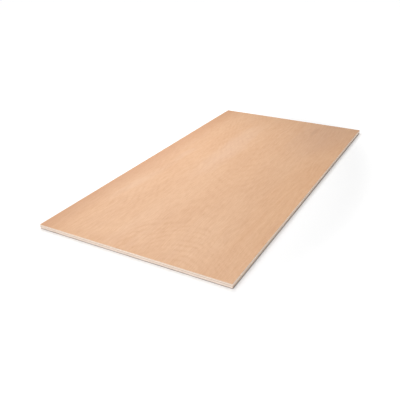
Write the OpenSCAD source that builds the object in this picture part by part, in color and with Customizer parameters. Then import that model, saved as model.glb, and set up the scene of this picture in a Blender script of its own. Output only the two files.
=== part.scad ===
// Plywood sheet: five plies of veneer pressed into one rigid board, lying flat.
// The frame has +Y along the length and the face grain, +X across the width and +Z up.
// The origin is under the middle of the sheet, on its back face.

/* [Sheet] */
// Length of the sheet, along the grain of its faces
sheet_length = 1220; // [600:10:2500]
// Width of the sheet
sheet_width = 610; // [300:10:1250]

/* [Plies] */
// Thickness of the face ply, after sanding
face_ply_t = 2.4; // [1:0.1:4]
// Thickness of the back ply, after sanding
back_ply_t = 2.4; // [1:0.1:4]
// Thickness of each of the two crossbands, whose grain runs across the sheet
crossband_t = 2.4; // [1.5:0.1:4]
// Thickness of the centre ply, whose grain runs along the sheet
centre_ply_t = 2.4; // [1.5:0.1:4]

/* [Edges] */
// Chamfer left by sanding along the arrises of both faces
arris = 0.3; // [0.1:0.05:0.6]

/* [Hidden] */
// Height of each ply's underside: the plies lie on each other from the back up
lower_crossband_z = back_ply_t;
centre_ply_z = lower_crossband_z + crossband_t;
upper_crossband_z = centre_ply_z + centre_ply_t;
face_ply_z = upper_crossband_z + crossband_t;

// Section of an outer ply, span wide and t thick, with both upper arrises eased
module eased_section(span, t) {
    half = span / 2;
    polygon([[-half, 0], [half, 0], [half, t - arris], [half - arris, t],
             [arris - half, t], [-half, t - arris]]);
}

// Outer ply with its eased side up: the two sections meet in mitred corners
module outer_ply(t) {
    intersection() {
        rotate([90, 0, 0]) linear_extrude(sheet_length, center = true) eased_section(sheet_width, t);
        rotate([90, 0, 90]) linear_extrude(sheet_width, center = true) eased_section(sheet_length, t);
    }
}

// Inner ply, sawn flush with the sheet on all four edges
module inner_ply(t) {
    translate([-sheet_width / 2, -sheet_length / 2, 0]) cube([sheet_width, sheet_length, t]);
}

// Sanded face of the sheet
module face_ply() {
    color("#e6bb99") translate([0, 0, face_ply_z]) outer_ply(face_ply_t);
}

// Crossband under the face
module upper_crossband() {
    color("#f0dcc6") translate([0, 0, upper_crossband_z]) inner_ply(crossband_t);
}

// Ply in the middle of the sheet
module centre_ply() {
    color("#e2cbb2") translate([0, 0, centre_ply_z]) inner_ply(centre_ply_t);
}

// Crossband over the back
module lower_crossband() {
    color("#f0dcc6") translate([0, 0, lower_crossband_z]) inner_ply(crossband_t);
}

// Back of the sheet, with its eased side down
module back_ply() {
    color("#d8ac8a") translate([0, 0, back_ply_t]) mirror([0, 0, 1]) outer_ply(back_ply_t);
}

face_ply();
upper_crossband();
centre_ply();
lower_crossband();
back_ply();
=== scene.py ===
import math

import bpy
import numpy as np
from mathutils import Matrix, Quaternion, Vector


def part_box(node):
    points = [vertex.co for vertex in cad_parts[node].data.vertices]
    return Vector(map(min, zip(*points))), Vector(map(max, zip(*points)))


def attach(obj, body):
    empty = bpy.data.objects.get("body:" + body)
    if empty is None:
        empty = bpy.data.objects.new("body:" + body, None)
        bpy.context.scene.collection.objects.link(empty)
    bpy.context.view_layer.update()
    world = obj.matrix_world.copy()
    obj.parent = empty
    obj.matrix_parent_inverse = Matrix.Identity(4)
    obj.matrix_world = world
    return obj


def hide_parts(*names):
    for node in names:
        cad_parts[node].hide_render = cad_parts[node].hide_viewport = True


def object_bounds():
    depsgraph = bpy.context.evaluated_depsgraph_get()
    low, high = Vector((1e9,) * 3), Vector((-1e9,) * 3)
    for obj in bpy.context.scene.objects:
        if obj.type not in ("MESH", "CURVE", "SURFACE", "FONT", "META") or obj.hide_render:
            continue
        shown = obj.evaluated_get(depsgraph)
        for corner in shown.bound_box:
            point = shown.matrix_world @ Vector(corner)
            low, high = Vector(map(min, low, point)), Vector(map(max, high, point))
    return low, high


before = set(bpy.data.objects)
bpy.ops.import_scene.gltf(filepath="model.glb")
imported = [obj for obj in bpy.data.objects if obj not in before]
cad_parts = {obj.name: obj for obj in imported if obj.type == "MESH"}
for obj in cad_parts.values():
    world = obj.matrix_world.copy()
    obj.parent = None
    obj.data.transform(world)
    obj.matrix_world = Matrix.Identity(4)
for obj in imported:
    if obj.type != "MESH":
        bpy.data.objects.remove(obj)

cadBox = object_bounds()
sheetLow, sheetHigh = Vector(cadBox[0]), Vector(cadBox[1])
print("frame loaded, sheet", [round(v, 4) for v in sheetHigh - sheetLow])

mm = 0.001


# the sawn outline, shared by every ply

outline = {
    "stepsAcross": 640,                                  # segments along one short edge
    "stepsAlong": 1280,                                  # segments along one long edge
    "ringInsets": [2, 5, 10, 20, 40, 80],                # mm, each ring has half the points of the last
    "heights": [0, .06, .2, .4, .6, .8, .94, 1],         # rows up the sawn edge, as a share of the ply
    "wander": 0.11,                                      # mm, how far a glue line strays from its level
    "wanderCycles": [3, 7, 13, 22, 41],                  # waves in one turn round the sheet
    "wanderSeed": 7,
    "arrisUneven": 0.25,                                 # share by which the sanded arris varies
    "arrisSmooth": 9,                                    # steps that one uneven spot spans
}


def outlineRing(inset, halvings):
    # points round the sheet, from the front left corner, with the outward direction at each
    across = outline["stepsAcross"] >> halvings
    along = outline["stepsAlong"] >> halvings
    xLow, xHigh = sheetLow.x + inset, sheetHigh.x - inset
    yLow, yHigh = sheetLow.y + inset, sheetHigh.y - inset
    corners = [(xLow, yLow), (xHigh, yLow), (xHigh, yHigh), (xLow, yHigh)]
    facing = [(0, -1), (1, 0), (0, 1), (-1, 0)]
    points, outward = [], []
    for side, steps in enumerate([across, along, across, along]):
        start, end = np.array(corners[side]), np.array(corners[(side + 1) % 4])
        share = np.arange(steps)[:, None] / steps
        points.append(start + (end - start) * share)
        way = np.repeat([facing[side]], steps, axis=0).astype(float)
        way[0] += facing[side - 1]                       # a corner moves along its mitre
        outward.append(way)
    return np.concatenate(points), np.concatenate(outward)


def glueLevel(level, index):
    # height of one glue line round the sheet: it wanders a little, and closes on itself
    points, _ = outlineRing(0, 0)
    turn = np.arange(len(points)) / len(points) * 2 * math.pi
    chance = np.random.default_rng(outline["wanderSeed"] + index)
    wave = np.zeros(len(points))
    for cycles in outline["wanderCycles"]:
        wave += np.sin(cycles * turn + chance.uniform(0, 2 * math.pi)) / math.sqrt(cycles)
    return level + wave / np.abs(wave).max() * outline["wander"] * mm


def ringQuads(lower, upper):
    following = np.roll(lower, -1), np.roll(upper, -1)
    return np.stack([lower, following[0], following[1], upper], 1).tolist()


def halvingTriangles(fine, coarse):
    faces, count = [], len(fine)
    for i in range(len(coarse)):
        a, b, c = fine[2 * i], fine[2 * i + 1], fine[(2 * i + 2) % count]
        here, ahead = coarse[i], coarse[(i + 1) % len(coarse)]
        faces += [[a, b, here], [b, ahead, here], [b, c, ahead]]
    return faces


def gridFill(ring, halvings, vertices, height):
    # closes the innermost ring with a plain grid
    across = outline["stepsAcross"] >> halvings
    along = outline["stepsAlong"] >> halvings
    table = np.zeros((across + 1, along + 1), int)
    table[:, 0] = ring[:across + 1]
    table[across, :] = ring[across:across + along + 1]
    table[:, along] = ring[across + along:2 * across + along + 1][::-1]
    table[0, :] = np.append(ring[2 * across + along:], ring[0])[::-1]
    low, high = np.array(vertices[ring[0]][:2]), np.array(vertices[ring[across + along]][:2])
    for i in range(1, across):
        for j in range(1, along):
            spot = low + (high - low) * (i / across, j / along)
            table[i, j] = len(vertices)
            vertices.append((spot[0], spot[1], height))
    return [[table[i, j], table[i + 1, j], table[i + 1, j + 1], table[i, j + 1]]
            for i in range(across) for j in range(along)]


def unevenArris(arris, count, seed):
    # width of the sanded arris at each point round the sheet
    spots = np.random.default_rng(seed).uniform(-1, 1, count)
    spread = np.ones(outline["arrisSmooth"]) / math.sqrt(outline["arrisSmooth"])
    return arris * (1 + outline["arrisUneven"] * np.convolve(spots, spread, "same"))


def plyMesh(name, bottom, top, groove, arris, seed, easedTop=False, easedBottom=False):
    # one ply as a closed skin: sawn edge in rows, then rings that thin out over both faces
    base, outward = outlineRing(0, 0)
    count = len(base)
    arrisWidth = unevenArris(arris, count, seed)
    lowEdge = bottom + arrisWidth if easedBottom else bottom
    highEdge = top - arrisWidth if easedTop else top
    vertices, rows, glue, sawn = [], [], [], []

    def addRing(points, heights, nearGlue, isSawn):
        first = len(vertices)
        vertices.extend(zip(points[:, 0], points[:, 1], np.broadcast_to(heights, len(points))))
        glue.extend([nearGlue] * len(points))
        sawn.extend([isSawn] * len(points))
        return np.arange(first, first + len(points))

    for share in outline["heights"]:
        onGlue = (share == 0 and not easedBottom) or (share == 1 and not easedTop)
        ring = base - outward * (groove if onGlue else 0)
        rows.append(addRing(ring, lowEdge + (highEdge - lowEdge) * share, float(onGlue), 1.0))
    faces = []
    for lower, upper in zip(rows, rows[1:]):
        faces += ringQuads(lower, upper)
    for isTop, edgeRow, flat in ((True, rows[-1], top), (False, rows[0], bottom)):
        level = float(np.mean(flat))
        ring = base - outward * arrisWidth[:, None]
        inner = addRing(ring, level, 0.0, 0.0)
        cap = ringQuads(edgeRow, inner)
        for halvings, inset in enumerate(outline["ringInsets"], 1):
            points, _ = outlineRing(inset * mm, halvings)
            coarse = addRing(points, level, 0.0, 0.0)
            cap += halvingTriangles(inner, coarse)
            inner = coarse
        cap += gridFill(inner, len(outline["ringInsets"]), vertices, level)
        faces += cap if isTop else [face[::-1] for face in cap]
    mesh = bpy.data.meshes.new(name)
    mesh.from_pydata([tuple(map(float, v)) for v in vertices], [], [list(map(int, f)) for f in faces])
    spare = len(vertices) - len(glue)
    ways = np.zeros((len(vertices), 3), np.float32)
    along = np.zeros(len(vertices), np.float32)
    stepLength = (sheetHigh.y - sheetLow.y) / outline["stepsAlong"]
    for row in rows:
        ways[row, :2] = outward
        along[row] = np.arange(count) * stepLength
    mesh.attributes.new("outward", "FLOAT_VECTOR", "POINT").data.foreach_set("vector", ways.ravel())
    mesh.attributes.new("along", "FLOAT", "POINT").data.foreach_set("value", along)
    for title, values in (("nearGlue", glue), ("sawn", sawn)):
        full = np.array(values + [0.0] * spare, np.float32)
        mesh.attributes.new(title, "FLOAT", "POINT").data.foreach_set("value", full)
    mesh.update()
    return mesh


# saw marks and raised fibre, cut into the edge by one node tree

sawCut = {
    "toothSpacing": 5.2,      # mm between the marks of the blade
    "toothDepth": 0.03,       # mm
    "fibreDepth": 0.09,       # mm, deepest pull-out
    "fibreScale": 900.0,      # fibres to the metre
    "fibreDetail": 2,
}


def sawnEdgeTree():
    tree = bpy.data.node_groups.new("sawn edge", "GeometryNodeTree")
    sockets = tree.interface
    sockets.new_socket("Geometry", in_out="INPUT", socket_type="NodeSocketGeometry")
    for title in ("Tooth spacing", "Tooth depth", "Fibre depth", "Fibre scale", "Seed"):
        sockets.new_socket(title, in_out="INPUT", socket_type="NodeSocketFloat")
    sockets.new_socket("Finish", in_out="INPUT", socket_type="NodeSocketMaterial")
    sockets.new_socket("Geometry", in_out="OUTPUT", socket_type="NodeSocketGeometry")
    nodes, link = tree.nodes, tree.links.new
    given, result = nodes.new("NodeGroupInput"), nodes.new("NodeGroupOutput")

    def reading(title, kind):
        node = nodes.new("GeometryNodeInputNamedAttribute")
        node.data_type = kind
        node.inputs["Name"].default_value = title
        return node.outputs["Attribute"]

    def worked(operation, *values):
        node = nodes.new("ShaderNodeMath")
        node.operation = operation
        for socket, value in zip(node.inputs, values):
            if isinstance(value, bpy.types.NodeSocket):
                link(value, socket)
            else:
                socket.default_value = value
        return node.outputs[0]

    turns = worked("DIVIDE", reading("along", "FLOAT"), given.outputs["Tooth spacing"])
    wave = worked("SINE", worked("MULTIPLY", turns, 2 * math.pi))
    tooth = worked("MULTIPLY_ADD", wave, 0.5, 0.5)       # from nought to one
    toothCut = worked("MULTIPLY", tooth, given.outputs["Tooth depth"])
    noise = nodes.new("ShaderNodeTexNoise")
    noise.noise_dimensions = "4D"
    noise.inputs["Detail"].default_value = sawCut["fibreDetail"]
    link(nodes.new("GeometryNodeInputPosition").outputs[0], noise.inputs["Vector"])
    link(given.outputs["Fibre scale"], noise.inputs["Scale"])
    link(given.outputs["Seed"], noise.inputs["W"])
    fibreCut = worked("MULTIPLY", noise.outputs[0], given.outputs["Fibre depth"])
    depth = worked("MULTIPLY", worked("ADD", toothCut, fibreCut), reading("sawn", "FLOAT"))
    inward = worked("MULTIPLY", depth, -1)
    push = nodes.new("ShaderNodeVectorMath")
    push.operation = "SCALE"
    link(reading("outward", "FLOAT_VECTOR"), push.inputs[0])
    link(inward, push.inputs["Scale"])
    move = nodes.new("GeometryNodeSetPosition")
    link(given.outputs["Geometry"], move.inputs["Geometry"])
    link(push.outputs[0], move.inputs["Offset"])
    realize = nodes.new("GeometryNodeRealizeInstances")
    paint = nodes.new("GeometryNodeSetMaterial")
    link(move.outputs[0], realize.inputs[0])
    link(realize.outputs[0], paint.inputs["Geometry"])
    link(given.outputs["Finish"], paint.inputs["Material"])
    link(paint.outputs[0], result.inputs[0])
    return tree


def cutEdge(piece, tree, finish, seed):
    modifier = piece.modifiers.new("sawn edge", "NODES")
    modifier.node_group = tree
    wanted = {"Tooth spacing": sawCut["toothSpacing"] * mm, "Tooth depth": sawCut["toothDepth"] * mm,
              "Fibre depth": sawCut["fibreDepth"] * mm, "Fibre scale": sawCut["fibreScale"],
              "Seed": float(seed), "Finish": finish}
    for item in tree.interface.items_tree:
        if item.in_out == "INPUT" and item.name in wanted:
            modifier[item.identifier] = wanted[item.name]
    shown = piece.evaluated_get(bpy.context.evaluated_depsgraph_get())
    plain = bpy.data.meshes.new_from_object(shown)
    piece.modifiers.clear()
    piece.data = plain
    if not plain.materials:
        plain.materials.append(finish)


# wood finishes

bands = {                                           # where each noise starts and stops counting
    "middle": (0.3, 0.7), "clouds": (0.32, 0.68), "pores": (0.66, 0.76),
    "patches": (0.38, 0.66, 0.1, 1.0), "breaks": (0.35, 0.65, 0.3, 1.0),
    "vessels": (0.52, 0.66), "checks": (0.64, 0.72), "turned": (0.4, 0.6), "upright": (0.5, 0.6),
}


def linear(hexColour):
    parts = [int(hexColour[i:i + 2], 16) / 255 for i in (1, 3, 5)]
    return [c / 12.92 if c <= 0.04045 else ((c + 0.055) / 1.055) ** 2.4 for c in parts] + [1.0]


class WoodTree:
    # short ways to add and join the nodes of one finish

    def __init__(self, name):
        self.material = bpy.data.materials.new(name)
        self.material.use_nodes = True
        self.tree = self.material.node_tree
        self.shader = self.tree.nodes["Principled BSDF"]
        coords = self.tree.nodes.new("ShaderNodeTexCoord")
        self.place, self.normal = coords.outputs["Object"], coords.outputs["Normal"]

    def add(self, kind, values, **settings):
        node = self.tree.nodes.new(kind)
        for key, value in settings.items():
            setattr(node, key, value)
        for key, value in values.items():
            if isinstance(value, bpy.types.NodeSocket):
                self.tree.links.new(value, node.inputs[key])
            else:
                node.inputs[key].default_value = value
        return node

    def sum(self, operation, *values):                   # any one step of arithmetic
        return self.add("ShaderNodeMath", dict(enumerate(values)), operation=operation).outputs[0]

    def split(self, vector):
        return self.add("ShaderNodeSeparateXYZ", {0: vector}).outputs

    def noise(self, stretch, detail=3.0, rough=0.5, shift=(0, 0, 0), place=None):
        mapped = {"Vector": place or self.place, "Scale": stretch, "Location": shift}
        spot = self.add("ShaderNodeMapping", mapped).outputs[0]
        settings = {"Vector": spot, "Scale": 1.0, "Detail": detail, "Roughness": rough}
        return self.add("ShaderNodeTexNoise", settings).outputs[0]

    def span(self, value, low, high, newLow=0.0, newHigh=1.0):
        settings = {"Value": value, "From Min": low, "From Max": high, "To Min": newLow, "To Max": newHigh}
        return self.add("ShaderNodeMapRange", settings, interpolation_type="SMOOTHSTEP").outputs[0]

    def mix(self, share, first, second):
        node = self.add("ShaderNodeMix", {}, data_type="RGBA")
        for socket, value in ((node.inputs[0], share), (node.inputs[6], first), (node.inputs[7], second)):
            if isinstance(value, bpy.types.NodeSocket):
                self.tree.links.new(value, socket)
            else:
                socket.default_value = value
        return node.outputs[2]


faceFigure = {
    "light": "#eec49f", "dark": "#d9a67f", "pore": "#a8714c",
    "flameCentre": 0.03, "flameLean": -0.18,        # m, and how far it drifts across for each metre along
    "waist": -0.40, "heartDepth": 0.27, "heartRise": 0.24, "waistBlunt": 0.04,
    "nearSteep": 2.2,                               # the near side of the waist climbs this much faster
    "clearAt": (0.13, -0.53), "clearReach": 0.17, "clearGain": 0.8,      # m, where the rings show best
    "ringsPerMetre": 80.0, "ringWander": 0.055, "ringWaver": 0.010,
    "ringContrast": 0.22, "fibreContrast": 0.34, "mottleContrast": 0.20, "clouds": 0.17,
    "bend": 0.05, "curl": 0.010,                    # m, how far the grain strays, and its small waves
    # painted shade: the face is darker and more orange along its left edge, where the light falls off
    "marginShade": "#c8916c", "marginShadeWidth": 0.085, "marginShadeShare": 0.46,
    "poreShare": 0.35,
    "streaks": [                                    # m, across and along, half width and half length
        {"at": (-0.080, 0.17), "size": (0.046, 0.28), "colour": "#f6dccb", "share": 0.23},
        # painted shade: a darker pinkish brown patch in the far right corner, where less light falls
        {"at": (0.185, 0.48), "size": (0.095, 0.25), "colour": "#c59d8a", "share": 0.24},
        {"at": (-0.215, 0.05), "size": (0.016, 0.07), "colour": "#f2d2bd", "share": 0.20},
        {"at": (-0.220, -0.24), "size": (0.018, 0.16), "colour": "#efcfb8", "share": 0.20},
        {"at": (0.074, 0.53), "size": (0.012, 0.09), "colour": "#cf9362", "share": 0.20},
        {"at": (0.142, 0.50), "size": (0.009, 0.05), "colour": "#a9765a", "share": 0.20},
        {"at": (0.235, -0.37), "size": (0.012, 0.20), "colour": "#d69c6f", "share": 0.20},
        {"at": (0.310, -0.05), "size": (0.110, 0.50), "colour": "#ecb480", "share": 0.24},
        # painted shade: a darker orange strip across the near edge of the face
        {"at": (-0.020, -0.61), "size": (0.260, 0.06), "colour": "#cb9468", "share": 0.20},
        {"at": (-0.290, 0.00), "size": (0.090, 0.42), "colour": "#d3ab94", "share": 0.20},
    ],
    "streakRagged": 1.3, "streakFade": 2.4,
}
faceGrain = {                                       # features to the metre: across, along, through
    "stray": (2.4, 2.0, 1.0), "curl": (20.0, 12.0, 1.0),
    "wander": (5.5, 1.8, 1.0), "waver": (60.0, 16.0, 1.0),
    "patches": (9.0, 3.2, 1.0), "breaks": (34.0, 16.0, 1.0),
    "fibre": (330.0, 14.0, 330.0), "hair": (1300.0, 70.0, 1300.0),
    "mottle": (75.0, 26.0, 75.0), "clouds": (11.0, 3.0, 1.0),
    "ragged": (38.0, 7.0, 1.0), "pores": (2100.0, 120.0, 2100.0), "sheen": (40.0, 3.0, 40.0),
}


def addStreak(wood, colour, x, y, ragged, streak):
    # a soft patch of colour with a ragged rim; most are stains in the veneer, long with the grain, and two
    # are painted shade
    across = wood.sum("DIVIDE", wood.sum("SUBTRACT", x, streak["at"][0]), streak["size"][0])
    along = wood.sum("DIVIDE", wood.sum("SUBTRACT", y, streak["at"][1]), streak["size"][1])
    reach = wood.sum("ADD", wood.sum("MULTIPLY", across, across), wood.sum("MULTIPLY", along, along))
    share = wood.span(wood.sum("ADD", reach, ragged), 0.0, faceFigure["streakFade"], streak["share"], 0.0)
    return wood.mix(share, colour, linear(streak["colour"]))


def grainLines(wood, fig, straightX, y):
    # place across the sheet, once the grain's bends and small waves are in
    stray = wood.sum("SUBTRACT", wood.noise(faceGrain["stray"], 2.0, shift=(7, 0, 0)), 0.5)
    curl = wood.sum("SUBTRACT", wood.noise(faceGrain["curl"], 2.0, shift=(0, 3, 0)), 0.5)
    x = wood.sum("MULTIPLY_ADD", curl, fig["curl"], wood.sum("MULTIPLY_ADD", stray, fig["bend"], straightX))
    return x, wood.add("ShaderNodeCombineXYZ", {"X": x, "Y": y}).outputs[0]


def ringDepth(wood, fig, x, y):
    # rings of a log whose heart lies under the sheet, deepest at the waist
    side = wood.sum("SUBTRACT", wood.sum("MULTIPLY_ADD", y, -fig["flameLean"], x), fig["flameCentre"])
    pastWaist = wood.sum("SUBTRACT", y, fig["waist"])
    fromWaist = wood.sum("MAXIMUM", pastWaist, wood.sum("MULTIPLY", pastWaist, -fig["nearSteep"]))
    away = wood.sum("SQRT", wood.sum("MULTIPLY_ADD", fromWaist, fromWaist, fig["waistBlunt"] ** 2))
    heart = wood.sum("MULTIPLY_ADD", away, -fig["heartRise"], fig["heartDepth"])
    radius = wood.sum("SQRT", wood.sum("MULTIPLY_ADD", side, side, wood.sum("MULTIPLY", heart, heart)))
    wander = wood.sum("MULTIPLY", wood.noise(faceGrain["wander"], 2.0), fig["ringWander"])
    waver = wood.sum("MULTIPLY", wood.noise(faceGrain["waver"], 3.0, 0.6), fig["ringWaver"])
    return wood.sum("ADD", radius, wood.sum("ADD", wander, waver))


def ringTone(wood, fig, x, y):
    # the rings come and go, and show best round one spot
    turns = wood.sum("MULTIPLY", ringDepth(wood, fig, x, y), fig["ringsPerMetre"] * 2 * math.pi)
    rings = wood.sum("POWER", wood.sum("MULTIPLY_ADD", wood.sum("SINE", turns), 0.5, 0.5), 2.0)
    patchy = wood.span(wood.noise(faceGrain["patches"], 3.0, shift=(3, 1, 0)), *bands["patches"])
    offX = wood.sum("SUBTRACT", x, fig["clearAt"][0])
    offY = wood.sum("SUBTRACT", y, fig["clearAt"][1])
    offSquare = wood.sum("ADD", wood.sum("MULTIPLY", offX, offX), wood.sum("MULTIPLY", offY, offY))
    off = wood.sum("SQRT", offSquare)
    clear = wood.span(off, 0.0, fig["clearReach"], fig["clearGain"], 0.0)
    broken = wood.span(wood.noise(faceGrain["breaks"], 2.0, shift=(5, 2, 0)), *bands["breaks"])
    patchy = wood.sum("MULTIPLY", wood.sum("ADD", patchy, clear), broken)
    return wood.sum("MULTIPLY", rings, wood.sum("MULTIPLY", patchy, fig["ringContrast"]))


def faceColour(wood, fig):
    straightX, y, _ = wood.split(wood.place)
    x, grain = grainLines(wood, fig, straightX, y)
    rings = ringTone(wood, fig, x, y)
    fibre = wood.span(wood.noise(faceGrain["fibre"], 4.0, 0.6, place=grain), *bands["middle"])
    hair = wood.span(wood.noise(faceGrain["hair"], 2.0, place=grain), *bands["middle"])
    mottle = wood.span(wood.noise(faceGrain["mottle"], 3.0, 0.65, place=grain), *bands["middle"])
    clouds = wood.noise(faceGrain["clouds"], 3.0, 0.55, shift=(0, 9, 0), place=grain)
    clouds = wood.span(clouds, *bands["clouds"])
    fibre = wood.sum("ADD", wood.sum("MULTIPLY", fibre, fig["fibreContrast"]),
                     wood.sum("MULTIPLY", hair, fig["fibreContrast"] * 0.5))
    tone = wood.sum("ADD", wood.sum("MULTIPLY", mottle, fig["mottleContrast"]),
                    wood.sum("MULTIPLY", clouds, fig["clouds"]))
    tone = wood.sum("ADD", wood.sum("ADD", rings, fibre), tone)
    colour = wood.mix(tone, linear(fig["light"]), linear(fig["dark"]))
    ragged = wood.noise(faceGrain["ragged"], 3.0, 0.6, place=grain)
    ragged = wood.sum("MULTIPLY", ragged, fig["streakRagged"])
    for streak in fig["streaks"]:
        colour = addStreak(wood, colour, x, y, ragged, streak)
    # painted shade: a darker orange strip along the left edge of the face
    marginShadeEnd = sheetLow.x + fig["marginShadeWidth"]
    marginShade = wood.span(straightX, sheetLow.x, marginShadeEnd, fig["marginShadeShare"], 0.0)
    colour = wood.mix(marginShade, colour, linear(fig["marginShade"]))
    pores = wood.noise(faceGrain["pores"], 1.0, shift=(0, 0, 2))
    pores = wood.span(pores, *bands["pores"], 0.0, fig["poreShare"])
    return wood.mix(pores, colour, linear(fig["pore"])), pores, fibre


edgeGrain = {
    "glue": "#a98a72", "glueStrength": 0.45,
    "checkStrength": 0.25, "vesselStrength": 0.25, "streakStrength": 0.5, "shadeStrength": 0.25,
    "streaks": (9.0, 9.0, 1500.0), "vessels": (1500.0, 1500.0, 1100.0),      # features to the metre
    "checks": (420.0, 420.0, 90.0), "shade": (16.0, 16.0, 4.0),
}
surface = {
    "edgeRough": (0.66, 0.82), "faceRough": (0.50, 0.62), "specular": 0.35,
    "bump": 0.25, "bumpHeight": 0.1,                # mm
    "fibreRelief": 0.6,                             # raised fibre against the depth of a pore
}


def edgeColour(wood, ply):
    # long grain on one pair of edges, end grain on the other
    facingX, facingY, _ = [wood.sum("ABSOLUTE", part) for part in wood.split(wood.normal)]
    endGrain = wood.span(facingY if ply["grain"] == "along" else facingX, *bands["turned"])
    streaks = wood.span(wood.noise(edgeGrain["streaks"], 3.0, 0.6), *bands["middle"])
    vessels = wood.span(wood.noise(edgeGrain["vessels"], 2.0, 0.6), *bands["vessels"])
    longColour = wood.mix(wood.sum("MULTIPLY", streaks, edgeGrain["streakStrength"]),
                          linear(ply["long"]), linear(ply["longDark"]))
    endColour = wood.mix(wood.sum("MULTIPLY", vessels, edgeGrain["vesselStrength"]),
                         linear(ply["end"]), linear(ply["endDark"]))
    checks = wood.noise(edgeGrain["checks"], 2.0, shift=(4, 4, 0))
    checks = wood.span(checks, *bands["checks"], 0.0, edgeGrain["checkStrength"])
    endColour = wood.mix(checks, endColour, linear(ply["endDark"]))
    colour = wood.mix(endGrain, longColour, endColour)
    shade = wood.noise(edgeGrain["shade"], 2.0)
    shade = wood.span(shade, *bands["middle"], 0.0, edgeGrain["shadeStrength"])
    colour = wood.mix(shade, colour, linear(ply["longDark"]))
    glue = wood.add("ShaderNodeAttribute", {}, attribute_name="nearGlue").outputs["Fac"]
    glue = wood.sum("MULTIPLY", glue, edgeGrain["glueStrength"])
    return wood.mix(glue, colour, linear(edgeGrain["glue"])), wood.sum("ADD", streaks, vessels)


def plyFinish(name, ply):
    wood = WoodTree(name)
    colour, relief = edgeColour(wood, ply)
    rough = wood.span(relief, 0.0, 2.0, *surface["edgeRough"])
    if "figure" in ply:
        face, pores, fibre = faceColour(wood, ply["figure"])
        upright = wood.span(wood.sum("ABSOLUTE", wood.split(wood.normal)[2]), *bands["upright"])
        colour = wood.mix(upright, colour, face)
        relief = wood.sum("SUBTRACT", wood.sum("MULTIPLY", fibre, surface["fibreRelief"]), pores)
        rough = wood.noise(faceGrain["sheen"], 3.0)
        rough = wood.span(rough, *bands["middle"], *surface["faceRough"])
    raised = {"Strength": surface["bump"], "Distance": surface["bumpHeight"] * mm, "Height": relief}
    bump = wood.add("ShaderNodeBump", raised)
    tree, shader = wood.tree, wood.shader
    tree.links.new(colour, shader.inputs["Base Color"])
    tree.links.new(rough, shader.inputs["Roughness"])
    tree.links.new(bump.outputs[0], shader.inputs["Normal"])
    shader.inputs["Specular IOR Level"].default_value = surface["specular"]
    return wood.material


# the five plies, from the back up

crossColours = {"long": "#f8e8da", "longDark": "#e9d5c4", "end": "#f0dccb", "endDark": "#d2b8a3"}
plies = {
    # painted shade: on the long sides the back ply's long grain is darker than the face ply's, for shade
    # near the floor
    "back_ply": {"piece": "backPly", "seed": 7, "grain": "along", "long": "#dcc3ae", "longDark": "#bfa08a",
                 "end": "#f6e6d9", "endDark": "#dcc5b2",
                 "figure": dict(faceFigure, flameCentre=-0.09, waist=0.15, streaks=[])},
    # painted shade: the lower crossband's end grain, seen on the long sides, is darker than the upper
    # crossband's, for shade near the floor
    "lower_crossband": dict(crossColours, piece="lowerCrossband", seed=14, grain="across",
                            end="#d9bfaa", endDark="#b4957c", long="#f9eadd", longDark="#e9d6c6"),
    "centre_ply": {"piece": "centrePly", "seed": 9, "grain": "along",
                   "long": "#f6e4d3", "longDark": "#e0c8b2", "end": "#dfc8b6", "endDark": "#c2a68f"},
    "upper_crossband": dict(crossColours, piece="upperCrossband", seed=14, grain="across"),
    "face_ply": {"piece": "facePly", "seed": 7, "grain": "along", "long": "#fff3e6", "longDark": "#f6dfca",
                 "end": "#ebd8c6", "endDark": "#d3b8a0", "figure": faceFigure},
}
plyCut = {"groove": 0.12, "arris": 0.3}             # mm, the glue line's depth and the sanded arris


def makePlies():
    tree = sawnEdgeTree()
    levels = []
    for index, node in enumerate(plies):
        low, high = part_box(node)
        isFirst, isLast = index == 0, index == len(plies) - 1
        bottom = low.z if isFirst else levels[-1]
        top = high.z if isLast else glueLevel(high.z, index)
        levels.append(top)
        ply = plies[node]
        mesh = plyMesh(ply["piece"], bottom, top, plyCut["groove"] * mm, plyCut["arris"] * mm,
                       ply["seed"], easedTop=isLast, easedBottom=isFirst)
        piece = bpy.data.objects.new(ply["piece"], mesh)
        bpy.context.scene.collection.objects.link(piece)
        cutEdge(piece, tree, plyFinish(ply["piece"] + "Wood", ply), index)
        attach(piece, "root")
        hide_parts(node)
        print("ply", ply["piece"], len(piece.data.polygons), "faces")


makePlies()


# floor, light and camera

studio = {                       # m, watts
    "floorHalf": 30.0, "floorColour": (0.80, 0.80, 0.80, 1),
    "floorGlow": 0.27, "floorGlowFar": 0.72,        # more glow away from the lamps keeps it even
    "poolCentre": (0.0, -0.1, 0.0), "poolNarrow": (1.7, 1.0, 1.0),      # a dimmer pool, long like the sheet
    "poolRadius": 0.70, "poolEnd": 1.15,            # where the glow starts and stops growing
    "floorDrop": 0.0023,                            # the floor lies this far below, for a line at the foot
    "shadeColour": (0.72, 0.72, 0.72, 1),           # painted shade: a dull patch under the sheet darkens that gap
    "shadeRight": 0.0018, "shadeLift": 0.00005,     # it reaches out a little on the right, as painted shadow on the floor
    "paperRough": 0.9,
    "wallHeight": 40.0, "wallFoot": -1.0, "wallSides": 64, "wallGlow": 1.0,
    "worldStrength": 0.355,
    "aim": (-0.1, 0.0, 0.0),                        # the lamps point here
    "keyPlace": (-0.60, 0.27, 1.10), "keySize": 0.7, "keyPower": 10.4,      # overhead, to the left
    "fillPlace": (0.0, -1.35, 0.95), "fillSize": 1.2, "fillPower": 9.1,     # low, in front
    "sidePlace": (1.8, -0.3, 0.9), "sideSize": 1.2, "sidePower": 3.0,       # weak, for the right-hand edge
}
view = {"azimuth": 29.120, "elevation": 26.945, "roll": -0.596, "distance": 1.6539,
        "aim": (0.0143, -0.2416, 0.0), "lens": 47.23, "sensor": 36.0}      # degrees, m, mm


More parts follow.
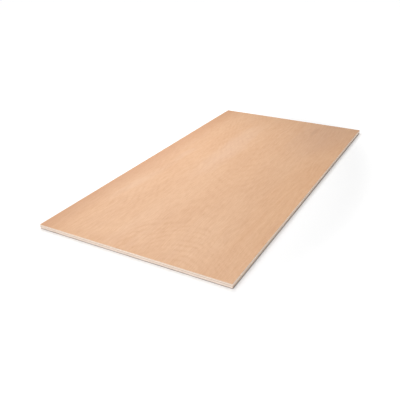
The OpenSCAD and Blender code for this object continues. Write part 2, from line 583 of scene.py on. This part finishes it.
def glowingPaper(name, colour, glow):
    paper = bpy.data.materials.new(name + "Paper")
    paper.use_nodes = True
    shader = paper.node_tree.nodes["Principled BSDF"]
    shader.inputs["Base Color"].default_value = colour
    shader.inputs["Roughness"].default_value = studio["paperRough"]
    shader.inputs["Specular IOR Level"].default_value = 0.0
    shader.inputs["Emission Color"].default_value = (1, 1, 1, 1)
    shader.inputs["Emission Strength"].default_value = glow
    return paper


def poolGlow(paper):
    # less glow where the lamps already light the floor
    nodes, link = paper.node_tree.nodes, paper.node_tree.links.new
    coords, away = nodes.new("ShaderNodeTexCoord"), nodes.new("ShaderNodeVectorMath")
    away.operation = "SUBTRACT"
    away.inputs[1].default_value = studio["poolCentre"]
    link(coords.outputs["Object"], away.inputs[0])
    narrow, reach = nodes.new("ShaderNodeVectorMath"), nodes.new("ShaderNodeVectorMath")
    narrow.operation, reach.operation = "MULTIPLY", "LENGTH"
    narrow.inputs[1].default_value = studio["poolNarrow"]
    link(away.outputs[0], narrow.inputs[0])
    link(narrow.outputs[0], reach.inputs[0])
    ramp = nodes.new("ShaderNodeMapRange")
    ramp.interpolation_type = "SMOOTHSTEP"
    for title, value in (("From Min", studio["poolRadius"]), ("From Max", studio["poolEnd"]),
                         ("To Min", studio["floorGlow"]), ("To Max", studio["floorGlowFar"])):
        ramp.inputs[title].default_value = value
    link(reach.outputs["Value"], ramp.inputs["Value"])
    link(ramp.outputs["Result"], nodes["Principled BSDF"].inputs["Emission Strength"])


def addStaged(name, mesh, paper):
    mesh.materials.append(paper)
    thing = bpy.data.objects.new(name, mesh)
    bpy.context.scene.collection.objects.link(thing)
    return thing


def flatPaper(name, xLow, xHigh, yLow, yHigh, height):
    mesh = bpy.data.meshes.new(name)
    corners = [(xLow, yLow), (xHigh, yLow), (xHigh, yHigh), (xLow, yHigh)]
    mesh.from_pydata([(x, y, height) for x, y in corners], [], [(0, 1, 2, 3)])
    return mesh


def makeFloor():
    half, level = studio["floorHalf"], -studio["floorDrop"]
    paper = glowingPaper("studioFloor", studio["floorColour"], studio["floorGlow"])
    poolGlow(paper)
    addStaged("studioFloor", flatPaper("studioFloor", -half, half, -half, half, level), paper)
    # painted shade: a dull patch under the sheet, a little wider on the right
    shade = flatPaper("studioShade", sheetLow.x, sheetHigh.x + studio["shadeRight"],
                      sheetLow.y, sheetHigh.y, level + studio["shadeLift"])
    addStaged("studioShade", shade, glowingPaper("studioShade", studio["shadeColour"], 0.0))


def makeWall():
    # white all round behind the floor: seen, but it lights nothing
    sides, height = studio["wallSides"], studio["wallHeight"]
    rim = [(math.cos(turn) * studio["floorHalf"], math.sin(turn) * studio["floorHalf"])
           for turn in np.arange(sides) * 2 * math.pi / sides]
    mesh = bpy.data.meshes.new("studioWall")
    mesh.from_pydata([(x, y, z) for z in (studio["wallFoot"], height) for x, y in rim], [],
                     [(i, (i + 1) % sides, (i + 1) % sides + sides, i + sides) for i in range(sides)])
    wall = addStaged("studioWall", mesh, glowingPaper("studioWall", (0, 0, 0, 1), studio["wallGlow"]))
    wall.visible_diffuse = wall.visible_glossy = False
    wall.visible_transmission = wall.visible_shadow = False


def makeLights():
    world = bpy.data.worlds.new("studioWorld")
    bpy.context.scene.world = world
    world.use_nodes = True
    world.node_tree.nodes["Background"].inputs["Color"].default_value = (1, 1, 1, 1)
    world.node_tree.nodes["Background"].inputs["Strength"].default_value = studio["worldStrength"]
    for name in ("key", "fill", "side"):
        lamp = bpy.data.lights.new(name + "Light", "AREA")
        lamp.energy, lamp.size = studio[name + "Power"], studio[name + "Size"]
        light = bpy.data.objects.new(name + "Light", lamp)
        bpy.context.scene.collection.objects.link(light)
        light.location = studio[name + "Place"]
        light.visible_camera = False
        aim = Vector(studio["aim"]) - light.location
        light.rotation_euler = aim.to_track_quat("-Z", "Y").to_euler()
    bpy.context.scene.view_settings.view_transform = "Standard"


def makeCamera():
    across, up = math.radians(view["azimuth"]), math.radians(view["elevation"])
    away = Vector((math.sin(across) * math.cos(up), -math.cos(across) * math.cos(up), math.sin(up)))
    lens = bpy.data.cameras.new("camera")
    lens.lens, lens.sensor_width = view["lens"], view["sensor"]
    camera = bpy.data.objects.new("camera", lens)
    bpy.context.scene.collection.objects.link(camera)
    camera.location = Vector(view["aim"]) + away * view["distance"]
    turn = (-away).to_track_quat("-Z", "Y") @ Quaternion((0, 0, 1), math.radians(view["roll"]))
    camera.rotation_euler = turn.to_euler()
    bpy.context.scene.camera = camera


makeFloor()
makeWall()
makeLights()
makeCamera()
print("studio and camera ready")
